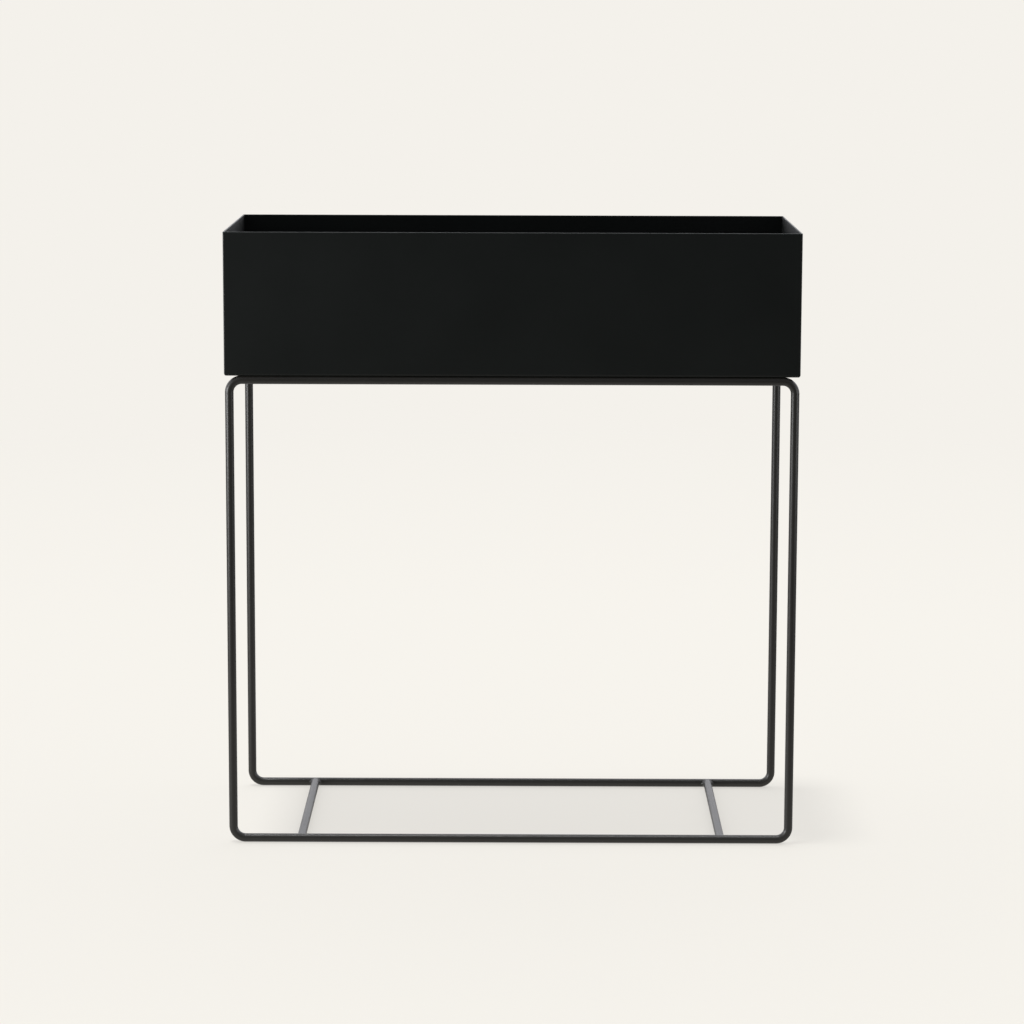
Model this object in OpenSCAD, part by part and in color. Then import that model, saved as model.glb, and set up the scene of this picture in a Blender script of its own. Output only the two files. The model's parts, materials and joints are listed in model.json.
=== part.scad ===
// Raised planter: a folded sheet-metal tray on a stand of bent round rod.
// Units are millimetres. +Z is up, the front faces -Y, and the origin is on the floor,
// below the middle of the tray.

/* [Overall size] */
// Width of the tray, left to right
tray_w = 600; // [400:5:900]
// Depth of the tray, front to back
tray_d = 250; // [180:5:400]
// Height of the tray's walls, outside
tray_h = 150; // [90:5:300]
// Height of the whole planter, floor to rim
total_h = 650; // [400:5:900]

/* [Tray sheet] */
// Thickness of the steel sheet
sheet_t = 1.5; // [1:0.1:2.5]
// Inside radius of the folds along the tray's floor
fold_in_r = 1.2; // [0.6:0.1:2.5]

/* [Stand] */
// Diameter of the rod
rod_d = 9; // [7:0.5:14]
// Radius of the loops' bends, at the rod's centre line
bend_r = 13; // [10:0.5:30]
// How far the loops' outer faces stand in from the tray's sides
stand_inset = 0.5; // [0:0.5:5]
// From the tray's end to the centre line of the crossbar near it
crossbar_from_end = 77; // [60:1:150]
// Leg of the fillet welds between the crossbars and the loops
crossbar_weld_leg = 2.4; // [1:0.1:3.5]

/* [Fixing tabs] */
// Width of a tab along the rod
tab_w = 26; // [20:1:40]
// Thickness of a tab
tab_t = 3; // [2:0.5:4]
// Radius of a tab's free corners
tab_corner_r = 4; // [1:0.5:6]
// From the tray's end to the middle of the tab near it
tab_from_end = 60; // [55:1:150]
// Metal left between a washer and a tab's free edge
tab_margin = 3.5; // [2:0.5:8]
// Radius of the weld bead below a tab
tab_weld_r = 1.6; // [1:0.1:2]

/* [Studs, washers and nuts] */
// Thread diameter of the studs
stud_d = 5; // [4:0.5:6]
// Length of a stud below the tray
stud_len = 9; // [8:0.5:16]
// Diameter of a stud's welding flange
stud_flange_d = 6.5; // [6.2:0.1:9]
// Thickness of a stud's welding flange
stud_flange_t = 0.8; // [0.5:0.1:1.5]
// Clearance across a tab's hole around the stud's flange
tab_hole_clearance = 0.6; // [0.3:0.1:2]
// Outside diameter of the washers
washer_d = 10; // [9.5:0.5:16]
// Thickness of the washers
washer_t = 1; // [0.5:0.1:2]
// Clearance across a washer's hole around the stud
washer_clearance = 0.3; // [0.1:0.1:1]
// Gap between a washer and the weld bead beside it
washer_gap = 1; // [0.5:0.5:5]
// Size of the nuts across their flats
nut_af = 8; // [8:0.5:10]
// Height of the nuts
nut_h = 4; // [2.5:0.1:5]

/* [Hidden] */
$fn = 72;

// Side signs: -1 is left or front, 1 is right or back
sides = [-1, 1];

// Heights
tray_z = total_h - tray_h;
rod_r = rod_d / 2;
rod_top_z = tray_z - rod_r;
rod_bottom_z = rod_r;

// Centre lines of the loops and crossbars
loop_x = tray_w / 2 - stand_inset - rod_r;
loop_y = tray_d / 2 - stand_inset - rod_r;
crossbar_x = tray_w / 2 - crossbar_from_end;

// The outside of a fold is one sheet thickness further out than its inside
fold_out_r = fold_in_r + sheet_t;

// Two walls meet at a corner with most of their thickness left open for the seam
seam = 0.8 * sheet_t;

// How far a weld's top and bottom stay below the rods' own
weld_relief = 0.14 * rod_r;

// The tabs are measured in from the rod's centre line
tab_x = tray_w / 2 - tab_from_end;
tab_start = 0.45 * rod_r;
stud_in = rod_r + tab_weld_r + washer_gap + washer_d / 2;
tab_end = stud_in + washer_d / 2 + tab_margin;
stud_y = loop_y - stud_in;
washer_z = tray_z - tab_t - washer_t;
nut_z = washer_z - nut_h;

// Colours
coat = "#1f2122";
steel = "#b4b6b8";

// How far a cut runs past the surface that it opens
past = 1;

// Puts a copy at each of the four corners, mirrored so that +X and +Y point outwards.
module at_corners(x, y) {
    for (sx = sides, sy = sides)
        scale([sx, sy, 1]) translate([x, y, 0]) children();
}

// A straight rod, centred at the origin, along X or along Y.
module rod_x(length, r = rod_r) {
    rotate([0, 90, 0]) cylinder(h = length, r = r, center = true);
}
module rod_y(length, r = rod_r) {
    rotate([90, 0, 0]) cylinder(h = length, r = r, center = true);
}

// The end view of a trough: open at the top, its two lower corners rounded.
module trough_outline(width, height, r) {
    translate([-width / 2, r]) square([width, height - r]);
    translate([-width / 2 + r, 0]) square([width - 2 * r, r]);
    for (s = sides) translate([s * (width / 2 - r), r]) circle(r = r);
}

// A block whose four bottom edges are rounded, as two troughs leave it where they cross.
module folded_block(w, d, h, r) {
    intersection() {
        rotate([90, 0, 0]) linear_extrude(d, center = true) trough_outline(w, h, r);
        rotate([90, 0, 90]) linear_extrude(w, center = true) trough_outline(d, h, r);
    }
}

// The outside of the tray, and the square notch in each of its upright corners.
module tray_outside() {
    translate([0, 0, tray_z]) folded_block(tray_w, tray_d, tray_h, fold_out_r);
}
module corner_notch() {
    translate([0, 0, tray_z - past]) cube([seam + past, seam + past, tray_h + 2 * past]);
}

// One sheet folded up on four sides.
module planter_tray() color(coat) {
    difference() {
        tray_outside();
        translate([0, 0, tray_z + sheet_t])
            folded_block(tray_w - 2 * sheet_t, tray_d - 2 * sheet_t, tray_h, fold_in_r);
        at_corners(tray_w / 2 - seam, tray_d / 2 - seam) corner_notch();
    }
}

// A rounded seam fills each upright corner between two walls.
module corner_welds() color(coat) {
    intersection() {
        tray_outside();
        at_corners(tray_w / 2 - seam, tray_d / 2 - seam) intersection() {
            corner_notch();
            translate([0, 0, tray_z - past]) cylinder(h = tray_h + 2 * past, r = seam);
        }
    }
}

// A closed upright loop of rod with four equal bends, drawn as four quarters.
module rod_loop() {
    mid_z = (rod_top_z + rod_bottom_z) / 2;
    half_w = loop_x - bend_r;
    half_h = rod_top_z - mid_z - bend_r;
    translate([0, 0, mid_z])
        for (sx = sides, sz = sides) scale([sx, 1, sz]) translate([half_w, 0, half_h]) {
            rotate([90, 0, 0]) rotate_extrude(angle = 90) translate([bend_r, 0]) circle(r = rod_r);
            translate([bend_r, 0, 0]) rotate([180, 0, 0]) cylinder(h = half_h, r = rod_r);
            translate([0, 0, bend_r]) rotate([0, -90, 0]) cylinder(h = half_w, r = rod_r);
        }
}

module front_loop() color(coat) translate([0, -loop_y, 0]) rod_loop();
module rear_loop() color(coat) translate([0, loop_y, 0]) rod_loop();

// The loops' rods that run left to right at one height.
module level_rods(z) {
    for (s = sides) translate([0, s * loop_y, z]) rod_x(tray_w);
}

// A rod between the loops at floor level, each end hollowed to sit on the loop's rod.
module crossbar(x) {
    difference() {
        translate([x, 0, rod_bottom_z]) rod_y(2 * loop_y);
        level_rods(rod_bottom_z);
    }
}

module left_crossbar() color(coat) crossbar(-crossbar_x);
module right_crossbar() color(coat) crossbar(crossbar_x);

// A fillet on both sides of each crossbar's end, a little below the tops of the rods.
module crossbar_welds() color(coat) {
    collar_h = crossbar_weld_leg;
    slab_h = 2 * (rod_r - weld_relief);
    difference() {
        translate([0, 0, rod_bottom_z]) intersection() {
            for (sx = sides, sy = sides)
                translate([sx * crossbar_x, sy * loop_y, 0]) rotate([90 * sy, 0, 0]) {
                    cylinder(h = rod_r, r = rod_r + collar_h);
                    translate([0, 0, rod_r])
                        cylinder(h = collar_h, r1 = rod_r + collar_h, r2 = rod_r);
                }
            cube([tray_w, tray_d, slab_h], center = true);
        }
        for (s = sides) translate([s * crossbar_x, 0, rod_bottom_z]) rod_y(2 * loop_y);
        level_rods(rod_bottom_z);
    }
}

// A flat tab with two rounded free corners. Its root lies along X and it reaches to -Y.
module tab_outline() {
    free_y = tab_end - tab_corner_r;
    translate([-tab_w / 2, -free_y]) square([tab_w, free_y - tab_start]);
    translate([-tab_w / 2 + tab_corner_r, -tab_end]) square([tab_w - 2 * tab_corner_r, tab_end - tab_start]);
    for (s = sides) translate([s * (tab_w / 2 - tab_corner_r), -free_y]) circle(r = tab_corner_r);
}

// A tab below the tray, hollowed to sit against the rod, with a hole for the stud.
module fixing_tab(sx, sy) {
    difference() {
        translate([sx * tab_x, sy * loop_y, tray_z - tab_t])
            scale([1, sy, 1]) linear_extrude(tab_t) tab_outline();
        level_rods(rod_top_z);
        translate([sx * tab_x, sy * stud_y, tray_z - tab_t - past])
            cylinder(h = tab_t + 2 * past, d = stud_flange_d + tab_hole_clearance);
    }
}

module front_left_tab() color(coat) fixing_tab(-1, -1);
module front_right_tab() color(coat) fixing_tab(1, -1);
module rear_left_tab() color(coat) fixing_tab(-1, 1);
module rear_right_tab() color(coat) fixing_tab(1, 1);

// A bead in the corner below each tab, along the rod.
module tab_welds() color(coat) {
    bead_z = tray_z - tab_t;
    bead_in = sqrt(rod_r * rod_r - pow(bead_z - rod_top_z, 2));
    difference() {
        at_corners(tab_x, loop_y - bead_in) translate([0, 0, bead_z]) rod_x(tab_w, tab_weld_r);
        level_rods(rod_top_z);
        for (s = sides) translate([s * tab_x, 0, bead_z + tab_t / 2])
            cube([tab_w + 2 * past, tray_d, tab_t], center = true);
    }
}

// Threaded studs welded to the tray's underside by their flanges.
module tray_studs() color(steel) {
    at_corners(tab_x, stud_y) {
        translate([0, 0, tray_z - stud_flange_t]) cylinder(h = stud_flange_t, d = stud_flange_d);
        translate([0, 0, tray_z - stud_len]) cylinder(h = stud_len, d = stud_d);
    }
}

module stud_washers() color(steel) {
    at_corners(tab_x, stud_y) translate([0, 0, washer_z]) difference() {
        cylinder(h = washer_t, d = washer_d);
        translate([0, 0, -past]) cylinder(h = washer_t + 2 * past, d = stud_d + washer_clearance);
    }
}

// Hexagon nuts whose corners are turned off by a cone above and below.
module stud_nuts() color(steel) {
    corner_r = nut_af / sqrt(3);
    chamfer_h = (corner_r - nut_af / 2) / 2;
    at_corners(tab_x, stud_y) translate([0, 0, nut_z]) difference() {
        intersection() {
            cylinder(h = nut_h, r = corner_r, $fn = 6);
            rotate_extrude() polygon([[0, 0], [nut_af / 2, 0], [corner_r, chamfer_h],
                [corner_r, nut_h - chamfer_h], [nut_af / 2, nut_h], [0, nut_h]]);
        }
        translate([0, 0, -past]) cylinder(h = nut_h + 2 * past, d = stud_d);
    }
}

planter_tray();
corner_welds();
front_loop();
rear_loop();
left_crossbar();
right_crossbar();
crossbar_welds();
front_left_tab();
front_right_tab();
rear_left_tab();
rear_right_tab();
tab_welds();
tray_studs();
stud_washers();
stud_nuts();
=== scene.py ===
"""Looks of a raised planter: a folded steel tray on a stand of bent round rod.

The frame gives every size and place. This file makes the pieces that show, their finishes and
a plain studio. It is laid out as an add-on and run as a script.
"""

import json
import math
from itertools import product

import bmesh
import bpy
from bpy.props import FloatProperty, FloatVectorProperty, IntProperty, PointerProperty
from mathutils import Euler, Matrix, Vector, noise

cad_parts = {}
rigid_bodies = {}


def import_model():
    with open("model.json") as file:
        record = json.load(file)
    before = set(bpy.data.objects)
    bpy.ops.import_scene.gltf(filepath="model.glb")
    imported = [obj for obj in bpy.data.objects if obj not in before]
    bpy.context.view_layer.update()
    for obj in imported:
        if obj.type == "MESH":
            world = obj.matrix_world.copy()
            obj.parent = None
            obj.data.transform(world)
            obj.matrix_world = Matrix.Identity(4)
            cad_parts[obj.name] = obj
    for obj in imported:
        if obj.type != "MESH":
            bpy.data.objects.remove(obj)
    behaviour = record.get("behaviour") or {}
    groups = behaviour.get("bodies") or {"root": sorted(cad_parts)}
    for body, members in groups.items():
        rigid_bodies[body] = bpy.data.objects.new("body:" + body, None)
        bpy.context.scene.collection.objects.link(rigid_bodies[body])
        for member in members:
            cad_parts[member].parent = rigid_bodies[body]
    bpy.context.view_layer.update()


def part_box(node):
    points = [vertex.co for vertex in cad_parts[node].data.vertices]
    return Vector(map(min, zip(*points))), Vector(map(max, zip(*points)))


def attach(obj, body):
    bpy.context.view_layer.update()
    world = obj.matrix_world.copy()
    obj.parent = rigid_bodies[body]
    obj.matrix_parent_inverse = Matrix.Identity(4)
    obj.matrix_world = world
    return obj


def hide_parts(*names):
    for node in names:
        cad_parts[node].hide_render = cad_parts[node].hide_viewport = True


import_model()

bl_info = {
    "name": "Raised planter",
    "version": (1, 0, 0),
    "blender": (4, 5, 0),
    "location": "3D View > Sidebar > Planter",
    "description": "Builds a folded steel planter tray on its bent rod stand",
    "category": "Add Mesh",
}

# Places from the frame
TRAY_LOW, TRAY_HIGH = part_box("planter_tray")
FRONT_LOW, FRONT_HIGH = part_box("front_loop")
BAR_LOW, BAR_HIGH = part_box("right_crossbar")
STUD_LOW, STUD_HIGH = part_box("tray_studs")
WASHER_LOW, WASHER_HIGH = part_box("stud_washers")
NUT_LOW, NUT_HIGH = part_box("stud_nuts")
TAB_LOW, TAB_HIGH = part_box("front_right_tab")

ROD_D = FRONT_HIGH.y - FRONT_LOW.y
ROD_R = ROD_D / 2
LOOP_Y = -(FRONT_LOW.y + FRONT_HIGH.y) / 2
BAR_X = (BAR_LOW.x + BAR_HIGH.x) / 2
FIXING_X = (TAB_LOW.x + TAB_HIGH.x) / 2
FLANGE_R = STUD_HIGH.x - FIXING_X
FIXING_Y = STUD_HIGH.y - FLANGE_R
SIDES = (-1, 1)
MM = 0.001


# ---------------------------------------------------------------- settings


class TraySettings(bpy.types.PropertyGroup):
    sheet: FloatProperty(
        name="Sheet", description="Thickness of the folded steel sheet",
        default=1.5 * MM, min=0.5 * MM, unit="LENGTH", precision=4)
    fold: FloatProperty(
        name="Fold", description="Inside radius of the folds along the tray's floor",
        default=1.2 * MM, min=0.2 * MM, unit="LENGTH", precision=4)
    rim_round: FloatProperty(
        name="Rim rounding", description="Radius that deburring leaves on the rim's two edges",
        default=0.4 * MM, min=0.05 * MM, unit="LENGTH", precision=4)
    seam: FloatProperty(
        name="Seam", description="Size of the welded seam in each upright corner",
        default=1.2 * MM, min=0.2 * MM, unit="LENGTH", precision=4)
    seam_step: FloatProperty(
        name="Seam step", description="Height between two outlines of a seam",
        default=1.5 * MM, min=0.5 * MM, unit="LENGTH", precision=4)
    seam_unevenness: FloatProperty(
        name="Seam unevenness",
        description="How much grinding leaves a seam's radius uneven, as a share of it",
        default=0.08, min=0.0, max=0.5, subtype="FACTOR")
    arc_steps: IntProperty(
        name="Arc steps", description="Faces around each quarter turn of a fold",
        default=8, min=3, max=32)


class StandSettings(bpy.types.PropertyGroup):
    bend: FloatProperty(
        name="Bend radius", description="Radius of the loops' bends at the rod's centre line",
        default=13 * MM, min=5 * MM, unit="LENGTH", precision=4)
    bend_steps: IntProperty(
        name="Bend steps", description="Faces along each quarter bend", default=20, min=4, max=64)
    rod_sides: IntProperty(
        name="Rod sides", description="Faces around a rod, in fours", default=64, min=16, max=128)


class WeldSettings(bpy.types.PropertyGroup):
    leg: FloatProperty(
        name="Leg", description="Length of the fillet welds along each rod",
        default=2.4 * MM, min=0.5 * MM, unit="LENGTH", precision=4)
    fullness: FloatProperty(
        name="Fullness",
        description="Where a fillet's face passes: 0.3 is hollow, 0.5 is flat, 0.7 is full",
        default=0.44, min=0.2, max=0.8, subtype="FACTOR")
    ripple_pitch: FloatProperty(
        name="Ripple pitch", description="Distance between two ripples of a bead",
        default=1.3 * MM, min=0.3 * MM, unit="LENGTH", precision=4)
    ripple_height: FloatProperty(
        name="Ripple height", description="Height of a bead's ripples under the coat",
        default=0.06 * MM, min=0.0, unit="LENGTH", precision=5)
    tab_bead: FloatProperty(
        name="Tab bead", description="Radius of the bead below each fixing tab",
        default=1.6 * MM, min=0.5 * MM, unit="LENGTH", precision=4)


class FixingSettings(bpy.types.PropertyGroup):
    thread_d: FloatProperty(
        name="Thread", description="Outside diameter of the studs' thread",
        default=5 * MM, min=2 * MM, unit="LENGTH", precision=4)
    thread_pitch: FloatProperty(
        name="Pitch", description="Pitch of the thread",
        default=0.8 * MM, min=0.3 * MM, unit="LENGTH", precision=4)
    flange_h: FloatProperty(
        name="Flange", description="Thickness of a stud's welding flange",
        default=0.8 * MM, min=0.2 * MM, unit="LENGTH", precision=4)
    washer_hole: FloatProperty(
        name="Washer hole", description="Diameter of a washer's hole",
        default=5.3 * MM, min=2 * MM, unit="LENGTH", precision=4)
    washer_d: FloatProperty(
        name="Washer", description="Outside diameter of a washer",
        default=10 * MM, min=4 * MM, unit="LENGTH", precision=4)
    edge_round: FloatProperty(
        name="Edge rounding", description="Radius on the edges of washers and tabs",
        default=0.18 * MM, min=0.02 * MM, unit="LENGTH", precision=5)
    nut_af: FloatProperty(
        name="Nut", description="Size of a nut across its flats",
        default=8 * MM, min=3 * MM, unit="LENGTH", precision=4)
    tab_corner: FloatProperty(
        name="Tab corner", description="Radius of a tab's free corners",
        default=4 * MM, min=0.5 * MM, unit="LENGTH", precision=4)
    tab_hole: FloatProperty(
        name="Tab hole", description="Diameter of the hole in a tab, which clears the stud's flange",
        default=7.1 * MM, min=2 * MM, unit="LENGTH", precision=4)
    turn_seed: IntProperty(
        name="Turn seed", description="Chooses how far round each fixing is turned", default=4, min=0)


class FinishSettings(bpy.types.PropertyGroup):
    tray_color: FloatVectorProperty(
        name="Tray coat", description="Colour of the tray's powder coat", subtype="COLOR", size=3,
        default=(0.0042, 0.0058, 0.0052), min=0.0, max=1.0)
    stand_color: FloatVectorProperty(
        name="Stand coat", description="Colour of the stand's powder coat", subtype="COLOR", size=3,
        default=(0.0180, 0.0172, 0.0148), min=0.0, max=1.0)
    zinc_color: FloatVectorProperty(
        name="Zinc", description="Colour of the zinc-plated fixings", subtype="COLOR", size=3,
        default=(0.56, 0.57, 0.58), min=0.0, max=1.0)
    tray_roughness: FloatProperty(
        name="Tray roughness", description="Roughness of the tray's coat",
        default=0.46, min=0.05, max=1.0, subtype="FACTOR")
    stand_roughness: FloatProperty(
        name="Stand roughness", description="Roughness of the stand's coat",
        default=0.40, min=0.05, max=1.0, subtype="FACTOR")
    tray_specular: FloatProperty(
        name="Tray gloss", description="Specular level of the tray's coat",
        default=0.31, min=0.0, max=1.0, subtype="FACTOR")
    stand_specular: FloatProperty(
        name="Stand gloss", description="Specular level of the stand's coat",
        default=0.5, min=0.0, max=1.0, subtype="FACTOR")
    grain: FloatProperty(
        name="Grain", description="Size of the powder coat's fine bumps",
        default=0.9 * MM, min=0.1 * MM, unit="LENGTH", precision=5)
    grain_height: FloatProperty(
        name="Grain height", description="Height of the powder coat's fine bumps",
        default=0.045 * MM, min=0.0, unit="LENGTH", precision=6)


class StageSettings(bpy.types.PropertyGroup):
    tone: FloatVectorProperty(
        name="Tone", description="Colour of the floor and of what is seen behind it",
        subtype="COLOR", size=3, default=(0.905, 0.880, 0.831), min=0.0, max=1.0)
    floor_glow: FloatProperty(
        name="Floor glow", description="Share of the floor's tone that no shadow darkens",
        default=0.648, min=0.0, max=1.0, subtype="FACTOR")
    floor_depth: FloatProperty(
        name="Floor depth",
        description="Share of the tone in the floor's own colour, which shadows darken",
        default=0.25, min=0.0, max=1.0, subtype="FACTOR")
    floor_bounce: FloatProperty(
        name="Floor bounce",
        description="Share of the floor's tone that lights the planter from close by",
        default=0.65, min=0.0, max=1.0, subtype="FACTOR")
    camera_side: FloatProperty(
        name="Camera side", description="How far right of the planter's middle the camera stands",
        default=0.008, unit="LENGTH")
    camera_back: FloatProperty(
        name="Camera distance", description="How far in front of the planter's middle the camera stands",
        default=3.404, min=0.5, unit="LENGTH")
    camera_height: FloatProperty(
        name="Camera height", description="Height of the camera above the floor",
        default=0.907, unit="LENGTH")
    camera_down: FloatProperty(
        name="Camera down", description="How far the camera looks down", subtype="ANGLE",
        default=math.radians(8.43))
    camera_turn: FloatProperty(
        name="Camera turn", description="How far the camera turns left of straight ahead",
        subtype="ANGLE", default=math.radians(0.139))
    camera_roll: FloatProperty(
        name="Camera roll", description="How far the camera leans", subtype="ANGLE",
        default=math.radians(0.177))
    camera_lens: FloatProperty(
        name="Lens", description="Focal length of the camera", subtype="DISTANCE_CAMERA",
        default=111.64, min=10)
    camera_shift: FloatProperty(
        name="Shift", description="Upright lens shift, as a share of the frame", default=-0.0586)
    key_strength: FloatProperty(
        name="Overhead light", description="Strength of the soft overhead light", default=1.5, min=0.0)
    key_width: FloatProperty(
        name="Overhead width", description="How wide the overhead light looks from the floor",
        default=math.radians(7.0), subtype="ANGLE")
    key_left: FloatProperty(
        name="Overhead to the left", description="How far left of upright the overhead light stands",
        default=math.radians(5.5), subtype="ANGLE")
    key_front: FloatProperty(
        name="Overhead to the front", description="How far in front of upright the overhead light stands",
        default=math.radians(1.5), subtype="ANGLE")
    left_power: FloatProperty(
        name="Left softbox", description="Power of the softbox at the left",
        default=21.0, min=0.0, unit="POWER")
    right_power: FloatProperty(
        name="Right softbox", description="Power of the softbox at the right",
        default=2.5, min=0.0, unit="POWER")
    air: FloatVectorProperty(
        name="Air", description="Colour of the light from the surroundings", subtype="COLOR", size=3,
        default=(0.955, 0.955, 1.0), min=0.0, max=1.0)
    front_light: FloatProperty(
        name="Front light", description="Light from the surroundings in front", default=0.05, min=0.0)
    back_light: FloatProperty(
        name="Back light", description="Light from the surroundings behind", default=1.6, min=0.0)
    top_light: FloatProperty(
        name="Top light", description="Light from the surroundings above", default=0.25, min=0.0)
    left_light: FloatProperty(
        name="Left light", description="Light from the surroundings at the left", default=0.9, min=0.0)
    right_light: FloatProperty(
        name="Right light", description="Light from the surroundings at the right", default=0.5, min=0.0)


# ---------------------------------------------------------------- mesh helpers


def mesh_object(name, points, faces, smooth_angle=30):
    """A new object from points and faces, normals outwards, shaded smooth below an angle in degrees."""
    mesh = bpy.data.meshes.new(name)
    mesh.from_pydata([tuple(p) for p in points], [], faces)
    tidy = bmesh.new()
    tidy.from_mesh(mesh)
    bmesh.ops.remove_doubles(tidy, verts=tidy.verts, dist=1e-7)
    bmesh.ops.recalc_face_normals(tidy, faces=tidy.faces)
    tidy.to_mesh(mesh)
    tidy.free()
    piece = bpy.data.objects.new(name, mesh)
    bpy.context.scene.collection.objects.link(piece)
    shade(mesh, smooth_angle)
    return piece


def shade(mesh, smooth_angle):
    """Smooth shading, with the edges sharper than an angle in degrees kept crisp."""
    mesh.shade_smooth()
    mesh.set_sharp_from_angle(angle=math.radians(smooth_angle))


def hand_over(piece, slot, *nodes):
    """Gives a finished piece its slot's material and its place in the frame."""
    piece.data.materials.clear()
    piece.data.materials.append(coat(slot, bpy.context.scene.planter_finish))
    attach(piece, "root")
    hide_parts(*nodes)


def join_loops(loops, closed_rows=False):
    """Faces between neighbouring loops of points.

    Each loop is a list of point numbers that closes on itself.
    """
    rows = list(zip(loops, loops[1:]))
    if closed_rows:
        rows.append((loops[-1], loops[0]))
    faces = []
    for low, high in rows:
        for i, start in enumerate(low):
            j = (i + 1) % len(low)
            faces.append((start, low[j], high[j], high[i]))
    return faces


def arc(steps, start, end):
    """Angles in radians from start to end, given in degrees, both ends included."""
    return [math.radians(start + (end - start) * i / steps) for i in range(steps + 1)]


def wobble(place, seed):
    """A smooth value between about -1 and 1 that changes along place."""
    return noise.noise(Vector((place, seed * 7.31, 0.5)))


# ---------------------------------------------------------------- geometry node helpers


def typed(sockets, name, kind):
    """The socket of one name and type, on a node that has several of that name."""
    return next(s for s in sockets if s.name == name and s.type == kind)


class Tree:
    """A geometry node group with named inputs, which ends in Realize Instances and Set Material."""

    def __init__(self, name, sockets):
        self.group = bpy.data.node_groups.new(name, "GeometryNodeTree")
        self.ids = {}
        self.group.interface.new_socket("Geometry", in_out="INPUT", socket_type="NodeSocketGeometry")
        for label, kind in {**sockets, "Material": "Material"}.items():
            made = self.group.interface.new_socket(label, in_out="INPUT", socket_type="NodeSocket" + kind)
            self.ids[label] = made.identifier
        self.group.interface.new_socket("Geometry", in_out="OUTPUT", socket_type="NodeSocketGeometry")
        self.inputs = self.group.nodes.new("NodeGroupInput").outputs

    def add(self, kind, settings=None, **values):
        """A node whose sockets are set to values or joined to other nodes' outputs."""
        made = self.group.nodes.new(kind)
        for key, value in (settings or {}).items():
            setattr(made, key, value)
        for key, value in values.items():
            socket = made.inputs[key.replace("_", " ")]
            if isinstance(value, bpy.types.NodeSocket):
                self.group.links.new(value, socket)
            else:
                socket.default_value = value
        return made

    def end(self, geometry):
        """Closes the tree."""
        real = self.add("GeometryNodeRealizeInstances", Geometry=geometry)
        coated = self.add("GeometryNodeSetMaterial", Geometry=real.outputs["Geometry"],
                          Material=self.inputs["Material"])
        out = self.group.nodes.new("NodeGroupOutput")
        self.group.links.new(coated.outputs["Geometry"], out.inputs["Geometry"])

    def make(self, name, source, smooth_angle=30, **values):
        """Runs the tree on a source object and keeps the result as a plain mesh in a new object."""
        modifier = source.modifiers.new("Tree", "NODES")
        modifier.node_group = self.group
        for key, value in values.items():
            modifier[self.ids[key.replace("_", " ")]] = value
        bpy.context.view_layer.update()
        ready = source.evaluated_get(bpy.context.evaluated_depsgraph_get())
        mesh = bpy.data.meshes.new_from_object(ready)
        mesh.name = name
        source.modifiers.remove(modifier)
        bpy.data.objects.remove(source)
        piece = bpy.data.objects.new(name, mesh)
        bpy.context.scene.collection.objects.link(piece)
        shade(mesh, smooth_angle)
        return piece


def blank(name):
    """An empty mesh object for a tree that needs no source shape."""
    piece = bpy.data.objects.new(name, bpy.data.meshes.new(name))
    bpy.context.scene.collection.objects.link(piece)
    return piece


def loop_tree():
    """An upright closed loop of round rod, its corners bent to one radius."""
    tree = Tree("Rod loop", {
        "Width": "Float", "Height": "Float", "Rod radius": "Float", "Bend radius": "Float",
        "Bend steps": "Int", "Rod sides": "Int", "Middle": "Vector"})
    given = tree.inputs
    outline = tree.add("GeometryNodeCurvePrimitiveQuadrilateral", Width=given["Width"],
                       Height=given["Height"])
    upright = tree.add("GeometryNodeTransform", Geometry=outline.outputs["Curve"],
                       Translation=given["Middle"], Rotation=(math.pi / 2, 0, 0))
    bent = tree.add("GeometryNodeFilletCurve", {"mode": "POLY"}, Curve=upright.outputs["Geometry"],
                    Count=given["Bend steps"], Radius=given["Bend radius"])
    section = tree.add("GeometryNodeCurvePrimitiveCircle", Resolution=given["Rod sides"],
                       Radius=given["Rod radius"])
    swept = tree.add("GeometryNodeCurveToMesh", Curve=bent.outputs["Curve"],
                     Profile_Curve=section.outputs["Curve"])
    tree.end(swept.outputs["Mesh"])
    return tree


def corner_tree():
    """Copies of one small part at the tray's four fixing points, each turned by chance."""
    tree = Tree("Four fixings", {
        "Spacing X": "Float", "Spacing Y": "Float", "Height": "Float", "Seed": "Int"})
    given = tree.inputs
    grid = tree.add("GeometryNodeMeshGrid", Size_X=given["Spacing X"], Size_Y=given["Spacing Y"],
                    Vertices_X=2, Vertices_Y=2)
    height = tree.add("ShaderNodeCombineXYZ", Z=given["Height"])
    placed = tree.add("GeometryNodeTransform", Geometry=grid.outputs["Mesh"],
                      Translation=height.outputs["Vector"])
    chance = tree.add("FunctionNodeRandomValue", {"data_type": "FLOAT"}, Seed=given["Seed"])
    typed(chance.inputs, "Max", "VALUE").default_value = math.tau
    turn = tree.add("ShaderNodeCombineXYZ", Z=typed(chance.outputs, "Value", "VALUE"))
    euler = tree.add("FunctionNodeEulerToRotation", Euler=turn.outputs["Vector"])
    copies = tree.add("GeometryNodeInstanceOnPoints", Points=placed.outputs["Geometry"],
                      Instance=given["Geometry"], Rotation=euler.outputs["Rotation"])
    tree.end(copies.outputs["Instances"])
    return tree


# ---------------------------------------------------------------- tray


RIM_ARC = arc(4, 0, 90)
SEAM_WAVE = 8 * MM


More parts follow.
